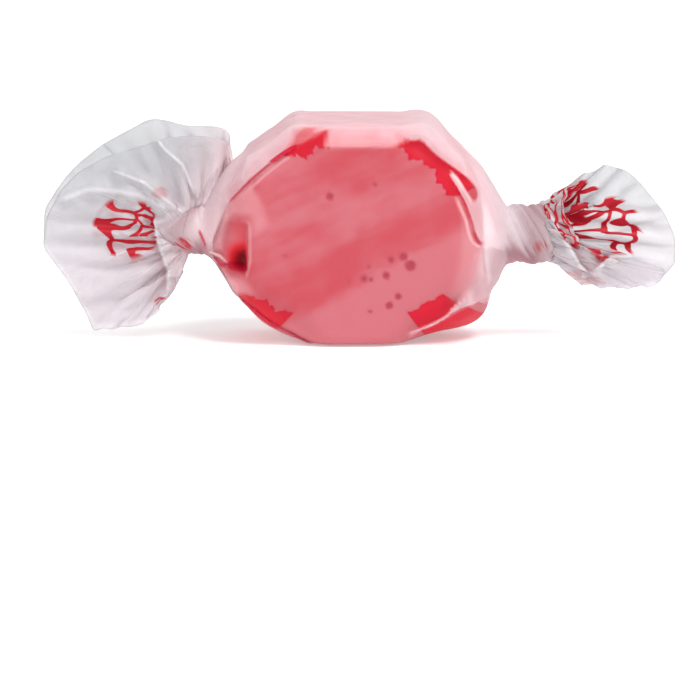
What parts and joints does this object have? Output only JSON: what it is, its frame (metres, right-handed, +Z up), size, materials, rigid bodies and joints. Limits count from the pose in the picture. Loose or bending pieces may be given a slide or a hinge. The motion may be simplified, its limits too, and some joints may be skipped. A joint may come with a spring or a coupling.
{
  "type": "salt water taffy",
  "caption": "Soft pulled candy with red stripes through its length, in translucent waxed paper twisted shut at both ends.",
  "frame": {"origin": "middle of the flat spot under the candy that the wrapped piece stands on", "axes": "+Z up, X from one twist to the other, -Y out of the front cut face of the candy"},
  "size_m": [0.0633, 0.0184, 0.022],
  "materials": {
    "pink_taffy": "soft satin sugar candy, pink with faint pulled streaks and small air bubbles",
    "red_taffy": "soft satin sugar candy, bright red",
    "waxed_paper": "thin translucent waxed paper, white, with red curls printed near the twists"
  },
  "bodies": {
    "root": {"taffy_body": "pink_taffy", "stripe_upper_left": "red_taffy", "stripe_upper_right": "red_taffy", "stripe_lower_right": "red_taffy", "stripe_lower_left": "red_taffy", "wrapper": "waxed_paper"}
  },
  "joints": []
}
